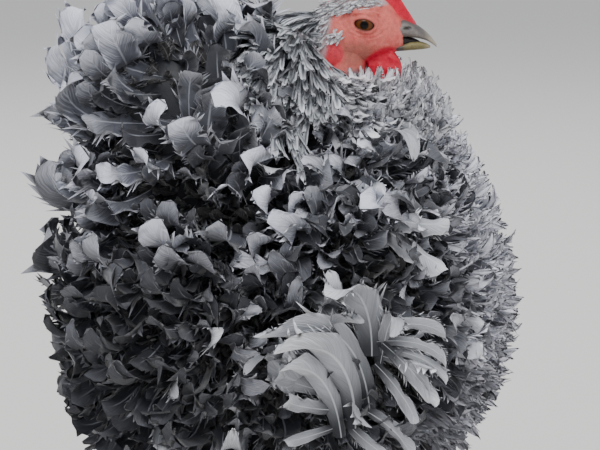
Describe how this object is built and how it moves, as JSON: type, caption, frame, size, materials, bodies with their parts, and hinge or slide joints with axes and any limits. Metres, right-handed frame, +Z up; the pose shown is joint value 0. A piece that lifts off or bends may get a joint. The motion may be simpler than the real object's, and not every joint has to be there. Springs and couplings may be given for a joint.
{
  "type": "frizzle chicken",
  "caption": "Life-size still model of a frizzled bantam hen at rest, with curled slate feathers, a small red comb and its head turned a little to the right.",
  "frame": {"origin": "on the floor, under the middle of the plumage's box", "axes": "+X towards the breast, +Y to the hen's left, +Z up; the head is turned 20 degrees to the hen's right"},
  "size_m": [0.231, 0.209, 0.306],
  "materials": {
    "slate_feather": "soft, dull curled feathers",
    "silver_feather": "soft, dull curled feathers",
    "grey_fluff": "downy fluff",
    "face_skin": "bare, finely wrinkled skin",
    "comb_red": "bare, finely pebbled skin",
    "horn": "smooth horn with a low sheen",
    "amber_eye": "wet and glossy",
    "shank_yellow": "scaled skin"
  },
  "bodies": {
    "root": {"bill_lower": "horn", "bill_upper": "horn", "claw_left_hind": "horn", "claw_left_inner": "horn", "claw_left_middle": "horn", "claw_left_outer": "horn", "claw_right_hind": "horn", "claw_right_inner": "horn", "claw_right_middle": "horn", "claw_right_outer": "horn", "comb": "comb_red", "cushion": "slate_feather", "earlobe_left": "comb_red", "earlobe_right": "comb_red", "eye_left": "amber_eye", "eye_right": "amber_eye", "foot_left": "shank_yellow", "foot_plume_left": "grey_fluff", "foot_plume_right": "grey_fluff", "foot_right": "shank_yellow", "head": "face_skin", "neck": "silver_feather", "shank_left": "shank_yellow", "shank_right": "shank_yellow", "tail": "slate_feather", "thigh_left": "grey_fluff", "thigh_right": "grey_fluff", "toe_left_hind": "shank_yellow", "toe_left_inner": "shank_yellow", "toe_left_middle": "shank_yellow", "toe_left_outer": "shank_yellow", "toe_right_hind": "shank_yellow", "toe_right_inner": "shank_yellow", "toe_right_middle": "shank_yellow", "toe_right_outer": "shank_yellow", "trunk": "slate_feather", "wattle_left": "comb_red", "wattle_right": "comb_red", "wing_left": "silver_feather", "wing_right": "silver_feather"}
  },
  "joints": []
}
